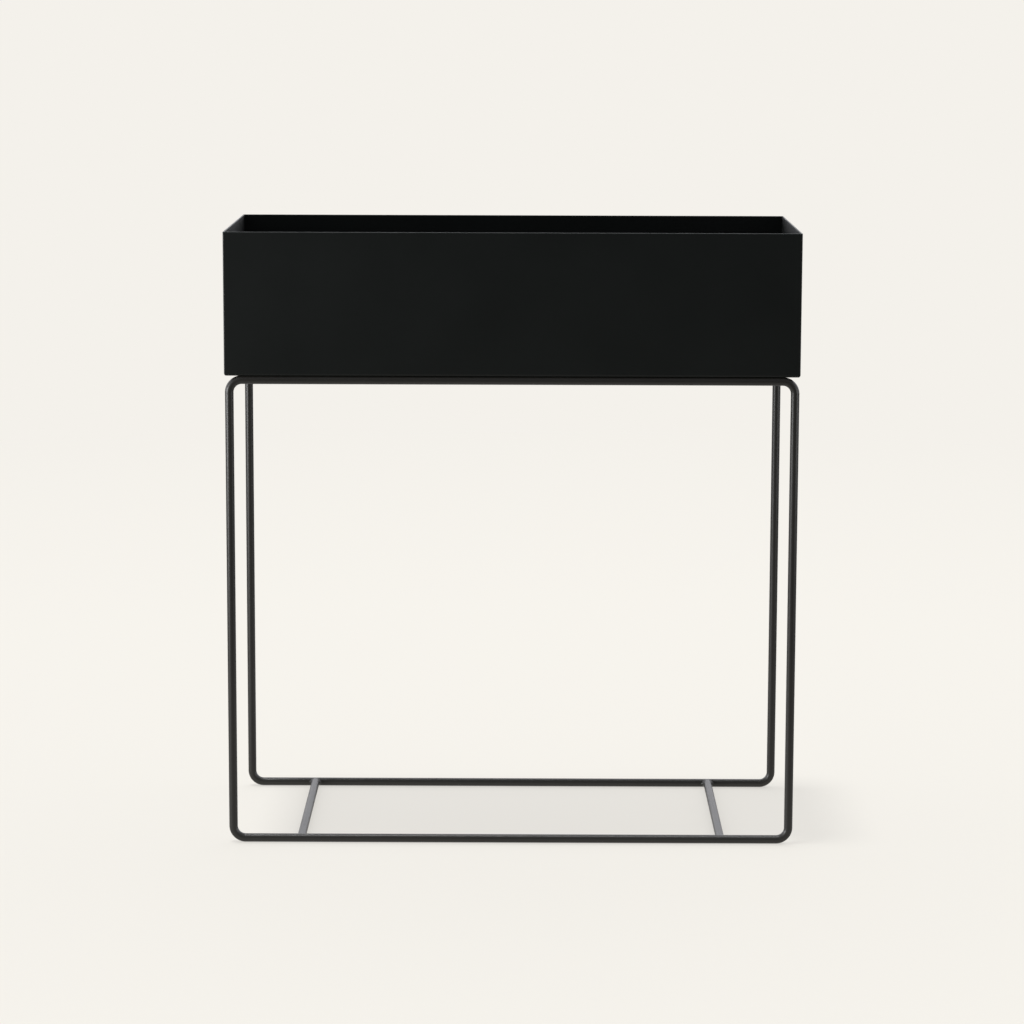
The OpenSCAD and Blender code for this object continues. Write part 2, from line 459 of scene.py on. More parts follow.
def tray_section(tray, height):
    """The sheet's section, as (inset from the outer wall face, height).

    It runs from the inside floor over the rim to the underside.
    """
    t, inner, outer, rim = tray.sheet, tray.fold, tray.fold + tray.sheet, tray.rim_round
    steps = tray.arc_steps
    section = [(t + inner - inner * math.sin(a), t + inner - inner * math.cos(a))
               for a in arc(steps, 0, 90)]
    rim_foot = height - rim
    # Two belts of points close below the rim keep its shading from spreading down the walls
    belts = [rim_foot - 8 * rim, rim_foot - 2 * rim]
    section += [(t, z) for z in belts]
    section += [(t - rim + rim * math.cos(a), rim_foot + rim * math.sin(a)) for a in RIM_ARC]
    section += [(rim - rim * math.sin(a), rim_foot + rim * math.cos(a)) for a in RIM_ARC]
    section += [(0, z) for z in reversed(belts)]
    section += [(outer - outer * math.cos(a), outer - outer * math.sin(a))
                for a in arc(steps, 0, 90)]
    return section


def cross_at(section, inset):
    """The section with a point added wherever it crosses an inset."""
    full = [section[0]]
    for (a, low), (b, high) in zip(section, section[1:]):
        if (a - inset) * (b - inset) < 0:
            share = (inset - a) / (b - a)
            full.append((inset, low + share * (high - low)))
        full.append((b, high))
    return full


def notched_outline(half_w, half_d, inset, seam):
    """A rectangle around the tray at an inset, each corner cut square where the seam goes."""
    x, y = half_w - inset, half_d - inset
    notch_x, notch_y = half_w - max(seam, inset), half_d - max(seam, inset)
    outline = []
    for sx, sy in ((1, 1), (-1, 1), (-1, -1), (1, -1)):
        corner = [(x, notch_y), (notch_x, notch_y), (notch_x, y)]
        if sx * sy < 0:
            corner.reverse()
        outline += [(sx * px, sy * py) for px, py in corner]
    return outline


def make_tray(tray):
    """The folded sheet, with softened rim edges and a square notch in each upright corner."""
    half_w, half_d = TRAY_HIGH.x, TRAY_HIGH.y
    height = TRAY_HIGH.z - TRAY_LOW.z
    section = cross_at(tray_section(tray, height), tray.seam)
    points, loops = [], []
    for inset, z in section:
        outline = notched_outline(half_w, half_d, inset, tray.seam)
        loops.append(list(range(len(points), len(points) + len(outline))))
        points += [(x, y, TRAY_LOW.z + z) for x, y in outline]
    faces = join_loops(loops) + [tuple(loops[0]), tuple(reversed(loops[-1]))]
    piece = mesh_object("tray", points, faces)
    # Marks the rim's top, which the coat paints lighter: a thinner coat on the cut edge and a painted
    # highlight.
    mark_thin_coat_and_highlight(piece, TRAY_HIGH.z - 1.5 * tray.rim_round)
    return piece


def mark_thin_coat_and_highlight(piece, above):
    """Stores 1 on the points above a height, and 0 elsewhere: the coat is lighter there, for a thinner
    coat on the cut edge and a painted highlight on the rim's top.
    """
    mask = piece.data.attributes.new("edge", "FLOAT", "POINT")
    mask.data.foreach_set("value", [float(v.co.z > above) for v in piece.data.vertices])


def fold_inset(z, outer):
    """How far the tray's outside stands in from its wall face at a height above the underside."""
    if z >= outer:
        return 0.0
    return outer - math.sqrt(outer * outer - (outer - z) ** 2)


def seam_levels(tray, height):
    """(height, radius) of one seam from its foot in the fold to its rounded top."""
    outer = tray.fold + tray.sheet
    foot = outer - math.sqrt(outer * outer - (outer - tray.seam) ** 2)
    top = height - tray.rim_round
    count = math.ceil((top - outer) / tray.seam_step)
    heights = [foot + (outer - foot) * i / 4 for i in range(4)]
    heights += [outer + (top - outer) * i / count for i in range(count + 1)]
    levels = [(z, tray.seam - fold_inset(z, outer)) for z in heights]
    levels += [(top + tray.rim_round * math.sin(a), tray.seam - tray.rim_round * (1 - math.cos(a)))
               for a in RIM_ARC[1:]]
    return levels


def make_seams(tray):
    """Four upright weld seams, ground round and a little uneven."""
    height = TRAY_HIGH.z - TRAY_LOW.z
    inner_x, inner_y = TRAY_HIGH.x - tray.seam, TRAY_HIGH.y - tray.seam
    points, faces = [], []
    for corner, (sx, sy) in enumerate(product(SIDES, SIDES)):
        loops = []
        for z, radius in seam_levels(tray, height):
            loss = 0.5 * tray.seam_unevenness * (1 + wobble(z / SEAM_WAVE, corner))
            reach = radius * (1 - loss)
            loop = [(inner_x, inner_y)]
            loop += [(inner_x + reach * math.cos(a), inner_y + reach * math.sin(a))
                     for a in arc(8, 0, 90)]
            loops.append(list(range(len(points), len(points) + len(loop))))
            points += [(sx * x, sy * y, TRAY_LOW.z + z) for x, y in loop]
        faces += join_loops(loops) + [tuple(loops[0]), tuple(reversed(loops[-1]))]
    piece = mesh_object("corner_seams", points, faces)
    # Marks the seams' tops, which the coat paints lighter: a thinner coat on the cut edge and a painted
    # highlight.
    mark_thin_coat_and_highlight(piece, TRAY_HIGH.z - 1.5 * tray.rim_round)
    return piece


# ---------------------------------------------------------------- stand


# Distances along the rods at which the crossbars are given points, as shares of half their length
BAR_SHARES = (-1, -0.9, -0.5, 0, 0.5, 0.9, 1)

# A fillet's leg at the top and bottom of the rods, as a share of its leg at their middle
FILLET_TOP = 0.22
FILLET_WAVE = 2 * MM
TAB_BEAD_WAVE = 3 * MM


def make_loops(stand):
    """The front and rear loops of bent rod."""
    made = []
    middle_z = (FRONT_LOW.z + FRONT_HIGH.z) / 2
    for side, label in zip(SIDES, ("front", "rear")):
        made.append(loop_tree().make(
            label + "_rod_loop", blank(label), 60,
            Width=FRONT_HIGH.x - FRONT_LOW.x - ROD_D, Height=FRONT_HIGH.z - FRONT_LOW.z - ROD_D,
            Rod_radius=ROD_R, Bend_radius=stand.bend, Bend_steps=stand.bend_steps,
            Rod_sides=stand.rod_sides, Middle=(0.0, side * LOOP_Y, middle_z)))
    return made


def make_crossbar(side, sides_around):
    """A rod between the loops, each end hollowed to the loops' own rod."""
    turn = [math.tau * i / sides_around for i in range(sides_around)]
    section = [(ROD_R * math.cos(a), ROD_R * math.sin(a)) for a in turn]
    points, loops = [], []
    for share in BAR_SHARES:
        loops.append(list(range(len(points), len(points) + sides_around)))
        points += [(side * BAR_X + x, share * (LOOP_Y - abs(x)), ROD_R + z) for x, z in section]
    faces = join_loops(loops)
    for loop in (loops[0], loops[-1]):
        faces += hollow_end(loop)
    return mesh_object(("left" if side < 0 else "right") + "_bar", points, faces, 40)


def hollow_end(loop):
    """Faces across a rod's hollowed end, each from one side to the same height on the other."""
    count = len(loop)
    faces = []
    for i in range(-count // 4, count // 4):
        near, far = loop[i % count], loop[(i + 1) % count]
        across, beside = loop[(count // 2 - i - 1) % count], loop[(count // 2 - i) % count]
        faces.append((near, far, across, beside))
    return faces


def fillet_outline(x, z, leg, fullness, steps=8):
    """A fillet's outline in plan where the two rods' surfaces meet at x, at one height.

    It runs from the crossbar's surface over the fillet's face to the loop's rod, and ends in the root.
    """
    start, end, root = Vector((x, x + leg, z)), Vector((x + leg, x, z)), Vector((x, x, z))
    middle = root + 2 * fullness * ((start + end) / 2 - root)
    control = 2 * middle - (start + end) / 2
    face = []
    for i in range(steps + 1):
        t = i / steps
        face.append((1 - t) ** 2 * start + 2 * t * (1 - t) * control + t * t * end)
    return face + [root]


def make_crossbar_welds(weld):
    """A fillet on both sides of each crossbar's end, rippled as it was laid."""
    points, faces = [], []
    steps = 72
    arc_length = math.pi * ROD_R
    for number, (bar, loop, side) in enumerate(product(SIDES, SIDES, SIDES)):
        loops = []
        for i, a in enumerate(arc(steps, -90, 90)):
            along = i / steps * arc_length
            ripple = weld.ripple_height * math.sin(math.tau * along / weld.ripple_pitch)
            reach, z = ROD_R * abs(math.cos(a)), ROD_R * math.sin(a)
            need = FILLET_TOP + (1 - FILLET_TOP) * abs(math.cos(a)) ** 0.7
            leg = need * (weld.leg * (1 + 0.09 * wobble(along / FILLET_WAVE, number)) + ripple)
            outline = fillet_outline(reach, z, leg, weld.fullness)
            loops.append(list(range(len(points), len(points) + len(outline))))
            points += [(bar * BAR_X + side * p.x, loop * (LOOP_Y - p.y), ROD_R + p.z)
                       for p in outline]
        faces += join_loops(loops) + [tuple(loops[0]), tuple(reversed(loops[-1]))]
    return mesh_object("crossbar_fillets", points, faces, 50)


def make_tab_beads(weld):
    """A rippled bead in the corner between each tab's underside and its rod."""
    points, faces = [], []
    tab_z = TAB_LOW.z
    rod_z = FRONT_HIGH.z - ROD_R
    root_y = LOOP_Y - math.sqrt(ROD_R ** 2 - (tab_z - rod_z) ** 2)
    half = (TAB_HIGH.x - TAB_LOW.x) / 2
    steps = 60
    for number, (sx, sy) in enumerate(product(SIDES, SIDES)):
        loops = []
        for i in range(steps + 1):
            along = -half + 2 * half * i / steps
            ripple = weld.ripple_height * math.sin(math.tau * along / weld.ripple_pitch)
            size = weld.tab_bead * (1 + 0.08 * wobble(along / TAB_BEAD_WAVE, number)) + ripple
            # The bead keeps its size along the tab and runs out only close to the tab's ends
            end = math.sqrt(max(0.0, 1 - (abs(along) / half) ** 6))
            radius = 0.3 * weld.tab_bead + 0.7 * size * end
            loop = [(along, root_y - radius * math.cos(a), tab_z + radius * math.sin(a))
                    for a in arc(8, -100, 0)]
            loop.append((along, root_y, tab_z))
            loops.append(list(range(len(points), len(points) + len(loop))))
            points += [(sx * FIXING_X + x, sy * y, z) for x, y, z in loop]
        faces += join_loops(loops) + [tuple(loops[0]), tuple(reversed(loops[-1]))]
    return mesh_object("tab_beads", points, faces, 50)


def tab_levels(fixing):
    """(height, inset of the free edges) of a tab from its underside to its top, both edges rounded."""
    r = fixing.edge_round
    rise = [(r - r * math.cos(a), r - r * math.sin(a)) for a in arc(3, 0, 90)]
    thick = TAB_HIGH.z - TAB_LOW.z
    middle = [(thick * share, 0) for share in (0.3, 0.5, 0.7, 0.84)]
    return rise + middle + [(thick - z, inset) for z, inset in reversed(rise)]


def tab_outline(root, end, half_w, corner):
    """Half of a tab's outline in plan, from the middle of its root to the middle of its free edge."""
    outline = [(0, root), (half_w / 2, root), (half_w, root)]
    outline += [(half_w - corner + corner * math.cos(a), end - corner + corner * math.sin(a))
                for a in arc(8, 0, 90)]
    return outline + [(0, end)]


def whole(half):
    """A closed outline from its half on the right."""
    return half + [(-x, y) for x, y in reversed(half[1:-1])]


def make_tab(sx, sy, fixing):
    """A flat tab: hollowed against the rod, its free corners round, with a hole for the stud."""
    half_w = (TAB_HIGH.x - TAB_LOW.x) / 2
    start, end = LOOP_Y + TAB_LOW.y, LOOP_Y + TAB_HIGH.y
    rod_z, hole_y = FRONT_HIGH.z - ROD_R, LOOP_Y - FIXING_Y
    points, outer, inner = [], [], []
    for z, inset in tab_levels(fixing):
        above = TAB_LOW.z + z - rod_z
        root = max(start, math.sqrt(max(0.0, ROD_R ** 2 - above ** 2)))
        outline = whole(tab_outline(root, end - inset, half_w - inset, fixing.tab_corner - inset))
        hole_r = fixing.tab_hole / 2 + inset
        hole = whole([(hole_r * math.sin(a), hole_y - hole_r * math.cos(a)) for a in arc(20, 0, 180)])
        for loops, ring in ((outer, outline), (inner, hole)):
            loops.append(list(range(len(points), len(points) + len(ring))))
            points += [(sx * FIXING_X + x, sy * (LOOP_Y - y), TAB_LOW.z + z) for x, y in ring]
    faces = join_loops(outer) + join_loops(inner)
    for edge, hole in ((outer[0], inner[0]), (outer[-1], inner[-1])):
        half, half_hole = len(edge) // 2, len(hole) // 2
        faces.append((*edge[:half + 1], *reversed(hole[:half_hole + 1])))
        faces.append((*edge[half:], edge[0], hole[0], *reversed(hole[half_hole:])))
    name = ("front" if sy < 0 else "rear") + ("_left" if sx < 0 else "_right") + "_plate"
    return mesh_object(name, points, faces, 35)


# ---------------------------------------------------------------- fixings


def turned(name, profile, steps=48):
    """A ring-shaped part from a closed profile of (radius, height).

    Each radius is a number, or a function of the angle.
    """
    points, loops = [], []
    for radius, z in profile:
        loops.append(list(range(len(points), len(points) + steps)))
        for i in range(steps):
            a = math.tau * i / steps
            r = radius(a) if callable(radius) else radius
            points.append((r * math.cos(a), r * math.sin(a), z))
    return mesh_object(name, points, join_loops(loops, closed_rows=True))


def washer_profile(hole_r, outer_r, height, rounding):
    """A stamped washer: its upper edges rounded, its lower ones crisp."""
    return [
        (hole_r, 0), (outer_r - rounding / 2, 0), (outer_r, rounding / 2), (outer_r, height - rounding),
        (outer_r - 0.3 * rounding, height - 0.3 * rounding), (outer_r - rounding, height),
        (hole_r + rounding, height), (hole_r, height - rounding)]


def nut_profile(af, hole_r, height):
    """A hexagon nut whose corners are turned off by a shallow cone above and below."""
    def limited(limit):
        def radius(a):
            flat = af / 2 / math.cos((a % (math.pi / 3)) - math.pi / 6)
            return min(flat, limit)
        return radius

    corner_r = af / math.sqrt(3)
    land = 0.48 * af
    cone_h = (corner_r - land) * math.tan(math.radians(30))
    rise = [(limited(land + (corner_r - land) * i / 6), cone_h * i / 6) for i in range(7)]
    fall = [(radius, height - z) for radius, z in reversed(rise)]
    lead = 0.08 * af
    foot, top = [(hole_r, lead), (hole_r + lead, 0)], [(hole_r + lead, height), (hole_r, height - lead)]
    return foot + rise + fall + top


def threaded_stud(length, radius, pitch, flange_r, flange_h, around=40):
    """A stud with a true helical thread below its welding flange. Its foot is at height 0."""
    depth = 0.61 * pitch
    tip_taper = 0.2 * MM
    shank = length - flange_h
    rows_per_turn = 10
    rows = math.ceil(shank / pitch * rows_per_turn)
    points, loops = [], []
    for row in range(rows + 1):
        z = shank * row / rows
        lead_in = radius - depth + tip_taper + z
        loops.append(list(range(len(points), len(points) + around)))
        for i in range(around):
            phase = (z / pitch + i / around) % 1
            thread = radius - depth * abs(2 * phase - 1)
            r = min(thread, lead_in)
            a = math.tau * i / around
            points.append((r * math.cos(a), r * math.sin(a), z))
    fillet = 0.25 * flange_h
    for r, z in ((flange_r - fillet, shank), (flange_r, shank + fillet), (flange_r, length)):
        loops.append(list(range(len(points), len(points) + around)))
        points += [(r * math.cos(math.tau * i / around), r * math.sin(math.tau * i / around), z)
                   for i in range(around)]
    faces = join_loops(loops) + [tuple(loops[0]), tuple(reversed(loops[-1]))]
    return mesh_object("stud_source", points, faces, 40)


def at_fixings(name, source, height, spread, seed, smooth_angle=30):
    """Puts a source part at the four fixing points with its foot at a height."""
    return corner_tree().make(
        name, source, smooth_angle, Spacing_X=spread[0], Spacing_Y=spread[1], Height=height, Seed=seed)


def make_fixings(fixing):
    """Studs, washers and nuts, as three pieces of four."""
    spread = (2 * FIXING_X, 2 * FIXING_Y)
    stud = threaded_stud(
        STUD_HIGH.z - STUD_LOW.z, fixing.thread_d / 2, fixing.thread_pitch, FLANGE_R, fixing.flange_h)
    washer = turned("washer_source", washer_profile(
        fixing.washer_hole / 2, fixing.washer_d / 2, WASHER_HIGH.z - WASHER_LOW.z, fixing.edge_round))
    nut = turned("nut_source", nut_profile(
        fixing.nut_af, fixing.thread_d / 2, NUT_HIGH.z - NUT_LOW.z), 72)
    return [
        at_fixings("threaded_studs", stud, STUD_LOW.z, spread, fixing.turn_seed, 40),
        at_fixings("washers", washer, WASHER_LOW.z, spread, fixing.turn_seed + 1),
        at_fixings("hexagon_nuts", nut, NUT_LOW.z, spread, fixing.turn_seed + 2)]


# ---------------------------------------------------------------- materials


def join(tree, *pairs):
    """Joins pairs of output and input sockets."""
    for out, into in pairs:
        tree.links.new(out, into)


def new_group(name, given, results):
    """An empty shader node group with its sockets, its input node and its output node."""
    group = bpy.data.node_groups.new(name, "ShaderNodeTree")
    for label, kind, value in given:
        made = group.interface.new_socket(label, in_out="INPUT", socket_type="NodeSocket" + kind)
        if value is not None:
            made.default_value = value
    for label, kind in results:
        group.interface.new_socket(label, in_out="OUTPUT", socket_type="NodeSocket" + kind)
    return group, group.nodes.new("NodeGroupInput"), group.nodes.new("NodeGroupOutput")


def noise_node(tree, detail, roughness):
    """A noise texture."""
    made = tree.nodes.new("ShaderNodeTexNoise")
    made.inputs["Detail"].default_value = detail
    made.inputs["Roughness"].default_value = roughness
    return made


def math_node(tree, operation, a, b):
    """A math node on two inputs, each a number or another node's output."""
    made = tree.nodes.new("ShaderNodeMath")
    made.operation = operation
    for socket, value in zip(made.inputs, (a, b)):
        if isinstance(value, bpy.types.NodeSocket):
            tree.links.new(value, socket)
        else:
            socket.default_value = value
    return made.outputs["Value"]


def coat_group():
    """The fine bumps that powder leaves when it flows out, and a slow cloudiness of the same coat."""
    name = "Coat surface"
    if name in bpy.data.node_groups:
        return bpy.data.node_groups[name]
    group, given, result = new_group(
        name,
        [("Place", "Vector", None), ("Grain size", "Float", 0.001), ("Cloud size", "Float", 0.1)],
        [("Height", "Float"), ("Cloud", "Float"), ("Fleck", "Float")])
    scale = math_node(group, "DIVIDE", 1.0, given.outputs["Grain size"])
    coarse = noise_node(group, 1.0, 0.4)
    fine = noise_node(group, 2.0, 0.6)
    cloud = noise_node(group, 4.0, 0.55)
    fleck = group.nodes.new("ShaderNodeTexVoronoi")
    for texture in (coarse, fine, cloud, fleck):
        join(group, (given.outputs["Place"], texture.inputs["Vector"]))
    join(group, (scale, coarse.inputs["Scale"]),
         (math_node(group, "MULTIPLY", scale, 3.3), fine.inputs["Scale"]),
         (math_node(group, "DIVIDE", 1.0, given.outputs["Cloud size"]), cloud.inputs["Scale"]),
         (math_node(group, "MULTIPLY", scale, 0.9), fleck.inputs["Scale"]))
    mixed = math_node(group, "ADD", math_node(group, "MULTIPLY", coarse.outputs["Fac"], 0.7),
                      math_node(group, "MULTIPLY", fine.outputs["Fac"], 0.3))
    spot = math_node(group, "LESS_THAN", fleck.outputs["Distance"], 0.12)
    join(group, (mixed, result.inputs["Height"]), (cloud.outputs["Fac"], result.inputs["Cloud"]),
         (spot, result.inputs["Fleck"]))
    return group


def start_material(name):
    """A new material, its node tree, its Principled BSDF and its object coordinates."""
    made = bpy.data.materials.new(name)
    made.use_nodes = True
    tree = made.node_tree
    place = tree.nodes.new("ShaderNodeTexCoord").outputs["Object"]
    return made, tree, tree.nodes["Principled BSDF"], place


def ranged(tree, value, low, high, from_low=0.3, from_high=0.7):
    """A value mapped to a new range."""
    made = tree.nodes.new("ShaderNodeMapRange")
    limits = {"From Min": from_low, "From Max": from_high, "To Min": low, "To Max": high}
    for label, number in limits.items():
        made.inputs[label].default_value = number
    tree.links.new(value, made.inputs["Value"])
    return made.outputs["Result"]


def mixed_color(tree, share, first, second):
    """Two colours mixed by a share. Each colour is three numbers or another node's output."""
    made = tree.nodes.new("ShaderNodeMix")
    made.data_type = "RGBA"
    tree.links.new(share, made.inputs["Factor"])
    for label, value in (("A", first), ("B", second)):
        socket = typed(made.inputs, label, "RGBA")
        if isinstance(value, bpy.types.NodeSocket):
            tree.links.new(value, socket)
        else:
            socket.default_value = (*value, 1)
    return typed(made.outputs, "Result", "RGBA")


def scaled(color, factor):
    """A colour made lighter or darker."""
    return tuple(min(1.0, c * factor) for c in color)


def powder_coat(name, color, roughness, specular, finish):
    """Black powder coat: fine bumps, slow clouds in tone and gloss, flecks, and lighter on the rim's top
    for a thinner coat on cut edges and a painted highlight.
    """
    made, tree, shader, place = start_material(name)
    # The fourth colour, 2.2 times the coat, is the rim's lighter tone: a thinner coat on cut edges and a
    # painted highlight.
    dark_cloud, light_cloud, fleck, cut_edge_and_highlight = (scaled(color, share) for share in (0.88, 1.13, 1.9, 2.2))
    surface = tree.nodes.new("ShaderNodeGroup")
    surface.node_tree = coat_group()
    surface.inputs["Grain size"].default_value = finish.grain
    surface.inputs["Cloud size"].default_value = 110 * MM
    edge = tree.nodes.new("ShaderNodeAttribute")
    edge.attribute_name = "edge"
    bump = tree.nodes.new("ShaderNodeBump")
    bump.inputs["Distance"].default_value = finish.grain_height
    bump.inputs["Strength"].default_value = 1.0
    cloudy = mixed_color(tree, surface.outputs["Cloud"], dark_cloud, light_cloud)
    flecked = mixed_color(tree, surface.outputs["Fleck"], cloudy, fleck)
    # Lighter on the marked rim: a thinner coat on cut edges and a painted highlight where light falls on
    # the rim's top.
    worn_and_highlit = mixed_color(tree, edge.outputs["Fac"], flecked, cut_edge_and_highlight)
    spread = 0.025
    join(tree,
         (place, surface.inputs["Place"]),
         (surface.outputs["Height"], bump.inputs["Height"]),
         (worn_and_highlit, shader.inputs["Base Color"]),
         (ranged(tree, surface.outputs["Cloud"], roughness - spread, roughness + spread),
          shader.inputs["Roughness"]),
         (bump.outputs["Normal"], shader.inputs["Normal"]))
    shader.inputs["Specular IOR Level"].default_value = specular
    return made


def zinc_plate(name, finish):
    """Zinc-plated steel: a bright metal, a little cloudy, with fine handling marks."""
    made, tree, shader, place = start_material(name)
    surface = tree.nodes.new("ShaderNodeGroup")
    surface.node_tree = coat_group()
    surface.inputs["Grain size"].default_value = 0.35 * MM
    surface.inputs["Cloud size"].default_value = 4 * MM
    bump = tree.nodes.new("ShaderNodeBump")
    bump.inputs["Distance"].default_value = 0.004 * MM
    color = finish.zinc_color
    tone = mixed_color(tree, surface.outputs["Cloud"], scaled(color, 0.86), scaled(color, 1.1))
    join(tree,
         (place, surface.inputs["Place"]),
         (surface.outputs["Height"], bump.inputs["Height"]),
         (tone, shader.inputs["Base Color"]),
         (ranged(tree, surface.outputs["Cloud"], 0.22, 0.4), shader.inputs["Roughness"]),
         (bump.outputs["Normal"], shader.inputs["Normal"]))
    shader.inputs["Metallic"].default_value = 1.0
    return made


COAT_NAMES = {
    "tray_coat": "Tray powder coat", "stand_coat": "Stand powder coat", "zinc_steel": "Zinc plate"}


def coat(slot, finish):
    """The material of a slot, made once."""
    name = COAT_NAMES[slot]
    if name in bpy.data.materials:
        return bpy.data.materials[name]
    if slot == "zinc_steel":
        return zinc_plate(name, finish)
    if slot == "tray_coat":
        return powder_coat(
            name, finish.tray_color, finish.tray_roughness, finish.tray_specular, finish)
    return powder_coat(
        name, finish.stand_color, finish.stand_roughness, finish.stand_specular, finish)


# ---------------------------------------------------------------- stage


FLOOR_REACH = 9

# Distances from the planter's middle over which the floor fades to the plain tone
FADE_START, FADE_END = 1.2, 3.0

# What is left of the floor's bounce far away, and the distances over which it weakens
FAR_BOUNCE = 0.08
BOUNCE_START, BOUNCE_END = 0.3, 1.6

# How squarely a direction must face the back, and each other side, to get its light from none to all
BACK_START, BACK_END = -0.4, 0.7
SIDE_START, SIDE_END = 0.3, 0.95

# The softboxes' places, their width and height, and the height on the planter that they point at
SOFTBOX_PLACES = {"Left": (-1.6, -0.85, 0.47), "Right": (1.25, -0.6, 0.47)}
SOFTBOX_W, SOFTBOX_H = 0.5, 0.34
SOFTBOX_AIM = 0.33


def make_floor(stage):
    """A large pale floor, which takes soft shadows and fades to one plain tone far from the planter."""
    reach = FLOOR_REACH
    corners = [(-reach, -reach, 0), (reach, -reach, 0), (reach, reach, 0), (-reach, reach, 0)]
    floor = mesh_object("floor", corners, [(0, 1, 2, 3)])
    made, tree, shader, place = start_material("Floor paper")
    shader.inputs["Roughness"].default_value = 1.0
    shader.inputs["Specular IOR Level"].default_value = 0.0
    paper = [own / light for own, light in zip(stage.tone, stage.air)]
    shader.inputs["Base Color"].default_value = (*scaled(paper, stage.floor_depth), 1)
    distance = tree.nodes.new("ShaderNodeVectorMath")
    distance.operation = "LENGTH"
    far = ranged(tree, distance.outputs["Value"], 0.0, 1.0, FADE_START, FADE_END)
    path = tree.nodes.new("ShaderNodeLightPath")
    plain, bounce = (tree.nodes.new("ShaderNodeEmission") for _ in range(2))
    plain.inputs["Color"].default_value = (*stage.tone, 1)
    bounce.inputs["Color"].default_value = (*stage.tone, 1)
    returned = ranged(
        tree, distance.outputs["Value"], stage.floor_bounce, FAR_BOUNCE, BOUNCE_START, BOUNCE_END)
    shown, either = (tree.nodes.new("ShaderNodeMixShader") for _ in range(2))
    join(tree,
         (place, distance.inputs[0]),
         (far, shown.inputs["Fac"]),
         (returned, bounce.inputs["Strength"]),
         (shader.outputs["BSDF"], shown.inputs[1]),
         (plain.outputs["Emission"], shown.inputs[2]),
         (path.outputs["Is Camera Ray"], either.inputs["Fac"]),
         (bounce.outputs["Emission"], either.inputs[1]),
         (shown.outputs["Shader"], either.inputs[2]),
         (either.outputs["Shader"], tree.nodes["Material Output"].inputs["Surface"]))
    shader.inputs["Emission Color"].default_value = (*stage.tone, 1)
    shader.inputs["Emission Strength"].default_value = stage.floor_glow
    floor.data.materials.append(made)
    return floor


def make_surroundings(stage):
    """Pale surroundings: their own light from each side, and the floor's own tone where they are seen."""
    world = bpy.data.worlds.new("Studio")
    bpy.context.scene.world = world
    world.use_nodes = True
    tree = world.node_tree
    tree.nodes.clear()
    way = tree.nodes.new("ShaderNodeSeparateXYZ")
    light = ranged(tree, way.outputs["Y"], stage.front_light, stage.back_light, BACK_START, BACK_END)
    others = (("Z", 1, stage.top_light), ("X", -1, stage.left_light), ("X", 1, stage.right_light))
    for axis, sign, strength in others:
        facing = math_node(tree, "MULTIPLY", way.outputs[axis], sign)
        light = math_node(tree, "ADD", light, ranged(tree, facing, 0.0, strength, SIDE_START, SIDE_END))
    lit, seen = (tree.nodes.new("ShaderNodeBackground") for _ in range(2))
    lit.inputs["Color"].default_value = (*stage.air, 1)
    seen.inputs["Color"].default_value = (*stage.tone, 1)
    path = tree.nodes.new("ShaderNodeLightPath")
    mix = tree.nodes.new("ShaderNodeMixShader")
    out = tree.nodes.new("ShaderNodeOutputWorld")
    join(tree,
         (tree.nodes.new("ShaderNodeTexCoord").outputs["Generated"], way.inputs["Vector"]),
         (light, lit.inputs["Strength"]),
         (path.outputs["Is Camera Ray"], mix.inputs["Fac"]),
         (lit.outputs["Background"], mix.inputs[1]),
         (seen.outputs["Background"], mix.inputs[2]),
         (mix.outputs["Shader"], out.inputs["Surface"]))


def make_key(stage):
    """An overhead light with a soft edge, a little to the left and to the front."""
    lamp = bpy.data.lights.new("Overhead", "SUN")
    lamp.energy = stage.key_strength
    lamp.angle = stage.key_width
    over = bpy.data.objects.new("Overhead", lamp)
    over.rotation_euler = Euler((stage.key_front, -stage.key_left, 0))
    bpy.context.scene.collection.objects.link(over)


def make_softboxes(stage, floor):
    """A softbox near each end, below the tray's rim, so that the tray's inside stays dark.

    They light the planter and not the floor.
    """
    unlit = bpy.data.collections.new("Not lit by the softboxes")
    unlit.objects.link(floor)
    unlit.collection_objects[0].light_linking.link_state = "EXCLUDE"
    for (name, place), power in zip(SOFTBOX_PLACES.items(), (stage.left_power, stage.right_power)):
        lamp = bpy.data.lights.new(name + " softbox", "AREA")
        lamp.shape = "RECTANGLE"
        lamp.size, lamp.size_y = SOFTBOX_W, SOFTBOX_H
        lamp.energy = power
        panel = bpy.data.objects.new(name + " softbox", lamp)
        panel.location = place
        towards = Vector((0, 0, SOFTBOX_AIM)) - panel.location
        panel.rotation_euler = towards.to_track_quat("-Z", "Y").to_euler()
        bpy.context.scene.collection.objects.link(panel)
        panel.light_linking.receiver_collection = unlit


def make_camera(stage):
    """The camera, in front and a little above the tray's rim."""
    lens = bpy.data.cameras.new("Camera")
    lens.lens = stage.camera_lens
    lens.sensor_width = 36
    lens.shift_y = stage.camera_shift
    lens.clip_start, lens.clip_end = 0.1, 50
    camera = bpy.data.objects.new("Camera", lens)
    camera.location = (stage.camera_side, -stage.camera_back, stage.camera_height)
    turn = Euler((math.pi / 2 - stage.camera_down, 0, stage.camera_turn)).to_quaternion()
    lean = Euler((0, 0, stage.camera_roll)).to_quaternion()
    camera.rotation_euler = (turn @ lean).to_euler()
    bpy.context.scene.collection.objects.link(camera)
    bpy.context.scene.camera = camera


# ---------------------------------------------------------------- operators


class PLANTER_OT_tray(bpy.types.Operator):
    """Makes the folded tray"""
    bl_idname = "planter.tray"
    bl_label = "Tray"

    def execute(self, context):
        hand_over(make_tray(context.scene.planter_tray), "tray_coat", "planter_tray")
        return {"FINISHED"}


